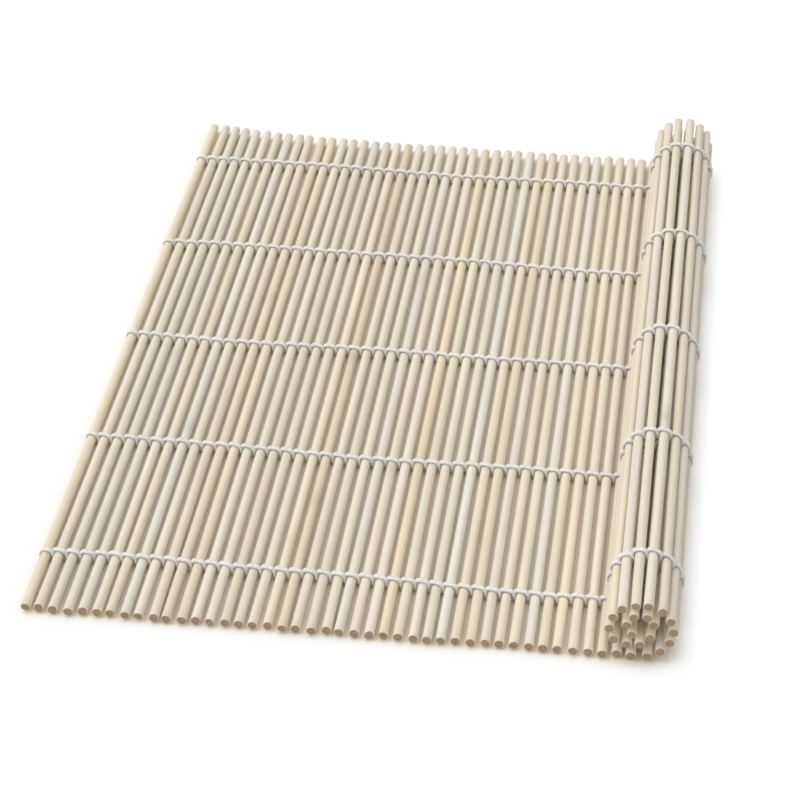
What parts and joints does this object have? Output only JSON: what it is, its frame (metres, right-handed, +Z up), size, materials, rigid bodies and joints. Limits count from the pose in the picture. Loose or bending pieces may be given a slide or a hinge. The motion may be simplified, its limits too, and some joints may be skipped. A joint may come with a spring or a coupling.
{
  "type": "sushi rolling mat",
  "caption": "Square mat of thin round bamboo sticks held by twined rows of cotton string; lies flat with one end rolled up, for rolling rice and for draining or drying.",
  "frame": {"origin": "under the middle of the mat as it lies, on the surface that it rests on", "axes": "+X across the sticks from the free edge to the rolled end, +Y along the sticks away from the picture's viewer, +Z up"},
  "size_m": [0.161, 0.244, 0.0186],
  "materials": {
    "bamboo": "plain split bamboo, turned round, unvarnished, fine lengthwise fibres",
    "string": "twined cotton string, matt white"
  },
  "bodies": {
    "panel_01": {"panel_01_sticks": "bamboo", "panel_01_strings": "string"},
    "panel_02": {"panel_02_sticks": "bamboo", "panel_02_strings": "string"},
    "panel_03": {"panel_03_sticks": "bamboo", "panel_03_strings": "string"},
    "panel_04": {"panel_04_sticks": "bamboo", "panel_04_strings": "string"},
    "panel_05": {"panel_05_sticks": "bamboo", "panel_05_strings": "string"},
    "panel_06": {"panel_06_sticks": "bamboo", "panel_06_strings": "string"},
    "panel_07": {"panel_07_sticks": "bamboo", "panel_07_strings": "string"},
    "panel_08": {"panel_08_sticks": "bamboo", "panel_08_strings": "string"},
    "panel_09": {"panel_09_sticks": "bamboo", "panel_09_strings": "string"},
    "panel_10": {"panel_10_sticks": "bamboo", "panel_10_strings": "string"},
    "roll_01": {"roll_01_stick": "bamboo", "roll_01_strings": "string"},
    "roll_02": {"roll_02_stick": "bamboo", "roll_02_strings": "string"},
    "roll_03": {"roll_03_stick": "bamboo", "roll_03_strings": "string"},
    "roll_04": {"roll_04_stick": "bamboo", "roll_04_strings": "string"},
    "roll_05": {"roll_05_stick": "bamboo", "roll_05_strings": "string"},
    "roll_06": {"roll_06_stick": "bamboo", "roll_06_strings": "string"},
    "roll_07": {"roll_07_stick": "bamboo", "roll_07_strings": "string"},
    "roll_08": {"roll_08_stick": "bamboo", "roll_08_strings": "string"},
    "roll_09": {"roll_09_stick": "bamboo", "roll_09_strings": "string"},
    "roll_10": {"roll_10_stick": "bamboo", "roll_10_strings": "string"},
    "roll_11": {"roll_11_stick": "bamboo", "roll_11_strings": "string"},
    "roll_12": {"roll_12_stick": "bamboo", "roll_12_strings": "string"},
    "roll_13": {"roll_13_stick": "bamboo", "roll_13_strings": "string"},
    "roll_14": {"roll_14_stick": "bamboo", "roll_14_strings": "string"},
    "roll_15": {"roll_15_stick": "bamboo", "roll_15_strings": "string"},
    "roll_16": {"roll_16_stick": "bamboo", "roll_16_strings": "string"},
    "roll_17": {"roll_17_stick": "bamboo", "roll_17_strings": "string"},
    "roll_18": {"roll_18_stick": "bamboo", "roll_18_strings": "string"},
    "roll_19": {"roll_19_stick": "bamboo", "roll_19_strings": "string"},
    "roll_20": {"roll_20_stick": "bamboo", "roll_20_strings": "string"}
  },
  "joints": [
    {"name": "panel_09_curl", "type": "hinge", "parent": "panel_10", "child": "panel_09", "pos_m": [0.05341, 0, 0.00163], "axis": [0, 1, 0], "range_deg": [0, 30]},
    {"name": "panel_08_curl", "type": "hinge", "parent": "panel_09", "child": "panel_08", "pos_m": [0.03579, 0, 0.00163], "axis": [0, 1, 0], "range_deg": [0, 34]},
    {"name": "panel_07_curl", "type": "hinge", "parent": "panel_08", "child": "panel_07", "pos_m": [0.01816, 0, 0.00163], "axis": [0, 1, 0], "range_deg": [0, 38]},
    {"name": "panel_06_curl", "type": "hinge", "parent": "panel_07", "child": "panel_06", "pos_m": [0.00405, 0, 0.00163], "axis": [0, 1, 0], "range_deg": [0, 42]},
    {"name": "panel_05_curl", "type": "hinge", "parent": "panel_06", "child": "panel_05", "pos_m": [-0.01005, 0, 0.00163], "axis": [0, 1, 0], "range_deg": [0, 46]},
    {"name": "panel_04_curl", "type": "hinge", "parent": "panel_05", "child": "panel_04", "pos_m": [-0.02416, 0, 0.00163], "axis": [0, 1, 0], "range_deg": [0, 50]},
    {"name": "panel_03_curl", "type": "hinge", "parent": "panel_04", "child": "panel_03", "pos_m": [-0.03826, 0, 0.00163], "axis": [0, 1, 0], "range_deg": [0, 55]},
    {"name": "panel_02_curl", "type": "hinge", "parent": "panel_03", "child": "panel_02", "pos_m": [-0.05236, 0, 0.00163], "axis": [0, 1, 0], "range_deg": [0, 57]},
    {"name": "panel_01_curl", "type": "hinge", "parent": "panel_02", "child": "panel_01", "pos_m": [-0.06647, 0, 0.00163], "axis": [0, 1, 0], "range_deg": [0, 57]},
    {"name": "roll_01_turn", "type": "hinge", "parent": "panel_10", "child": "roll_01", "pos_m": [0.07104, 0, 0.00163], "axis": [0, -1, 0], "range_deg": [-12, 0]},
    {"name": "roll_02_turn", "type": "hinge", "parent": "roll_01", "child": "roll_02", "pos_m": [0.07449, 0, 0.00237], "axis": [0, -1, 0], "range_deg": [-26, 0]},
    {"name": "roll_03_turn", "type": "hinge", "parent": "roll_02", "child": "roll_03", "pos_m": [0.07727, 0, 0.00454], "axis": [0, -1, 0], "range_deg": [-26, 0]},
    {"name": "roll_04_turn", "type": "hinge", "parent": "roll_03", "child": "roll_04", "pos_m": [0.07882, 0, 0.00771], "axis": [0, -1, 0], "range_deg": [-26, 0]},
    {"name": "roll_05_turn", "type": "hinge", "parent": "roll_04", "child": "roll_05", "pos_m": [0.07882, 0, 0.01123], "axis": [0, -1, 0], "range_deg": [-26, 0]},
    {"name": "roll_06_turn", "type": "hinge", "parent": "roll_05", "child": "roll_06", "pos_m": [0.07727, 0, 0.0144], "axis": [0, -1, 0], "range_deg": [-26.01, 0]},
    {"name": "roll_07_turn", "type": "hinge", "parent": "roll_06", "child": "roll_07", "pos_m": [0.07449, 0, 0.01657], "axis": [0, -1, 0], "range_deg": [-26.01, 0]},
    {"name": "roll_08_turn", "type": "hinge", "parent": "roll_07", "child": "roll_08", "pos_m": [0.07104, 0, 0.0173], "axis": [0, -1, 0], "range_deg": [-26.01, 0]},
    {"name": "roll_09_turn", "type": "hinge", "parent": "roll_08", "child": "roll_09", "pos_m": [0.06762, 0, 0.01645], "axis": [0, -1, 0], "range_deg": [-26.01, 0]},
    {"name": "roll_10_turn", "type": "hinge", "parent": "roll_09", "child": "roll_10", "pos_m": [0.06492, 0, 0.01419], "axis": [0, -1, 0], "range_deg": [-26.01, 0]},
    {"name": "roll_11_turn", "type": "hinge", "parent": "roll_10", "child": "roll_11", "pos_m": [0.06349, 0, 0.01096], "axis": [0, -1, 0], "range_deg": [-26.01, 0]},
    {"name": "roll_12_turn", "type": "hinge", "parent": "roll_11", "child": "roll_12", "pos_m": [0.06361, 0, 0.00744], "axis": [0, -1, 0], "range_deg": [-41.01, 0]},
    {"name": "roll_13_turn", "type": "hinge", "parent": "roll_12", "child": "roll_13", "pos_m": [0.06602, 0, 0.00486], "axis": [0, -1, 0], "range_deg": [-41.01, 0]},
    {"name": "roll_14_turn", "type": "hinge", "parent": "roll_13", "child": "roll_14", "pos_m": [0.06952, 0, 0.00449], "axis": [0, -1, 0], "range_deg": [-34.01, 0]},
    {"name": "roll_15_turn", "type": "hinge", "parent": "roll_14", "child": "roll_15", "pos_m": [0.07264, 0, 0.00615], "axis": [0, -1, 0], "range_deg": [-34.01, 0]},
    {"name": "roll_16_turn", "type": "hinge", "parent": "roll_15", "child": "roll_16", "pos_m": [0.07429, 0, 0.00926], "axis": [0, -1, 0], "range_deg": [-34.01, 0]},
    {"name": "roll_17_turn", "type": "hinge", "parent": "roll_16", "child": "roll_17", "pos_m": [0.07392, 0, 0.01277], "axis": [0, -1, 0], "range_deg": [-57.01, 0]},
    {"name": "roll_18_turn", "type": "hinge", "parent": "roll_17", "child": "roll_18", "pos_m": [0.07078, 0, 0.01437], "axis": [0, -1, 0], "range_deg": [-57.01, 0]},
    {"name": "roll_19_turn", "type": "hinge", "parent": "roll_18", "child": "roll_19", "pos_m": [0.06773, 0, 0.01261], "axis": [0, -1, 0], "range_deg": [-57.01, 0]},
    {"name": "roll_20_turn", "type": "hinge", "parent": "roll_19", "child": "roll_20", "pos_m": [0.06754, 0, 0.00909], "axis": [0, -1, 0], "range_deg": [-57.01, 0]}
  ],
  "couplings": [
    {"joint": "roll_06_turn", "follows": "roll_04_turn", "ratio": 1},
    {"joint": "roll_08_turn", "follows": "roll_04_turn", "ratio": 1},
    {"joint": "roll_10_turn", "follows": "roll_04_turn", "ratio": 1},
    {"joint": "roll_12_turn", "follows": "roll_04_turn", "ratio": 1.5769},
    {"joint": "roll_14_turn", "follows": "roll_04_turn", "ratio": 1.3077},
    {"joint": "roll_16_turn", "follows": "roll_04_turn", "ratio": 1.3077},
    {"joint": "roll_18_turn", "follows": "roll_04_turn", "ratio": 2.1923},
    {"joint": "roll_20_turn", "follows": "roll_04_turn", "ratio": 2.1923},
    {"joint": "roll_07_turn", "follows": "roll_05_turn", "ratio": 1},
    {"joint": "roll_09_turn", "follows": "roll_05_turn", "ratio": 1},
    {"joint": "roll_11_turn", "follows": "roll_05_turn", "ratio": 1},
    {"joint": "roll_13_turn", "follows": "roll_05_turn", "ratio": 1.5769},
    {"joint": "roll_15_turn", "follows": "roll_05_turn", "ratio": 1.3077},
    {"joint": "roll_17_turn", "follows": "roll_05_turn", "ratio": 2.1923},
    {"joint": "roll_19_turn", "follows": "roll_05_turn", "ratio": 2.1923}
  ]
}
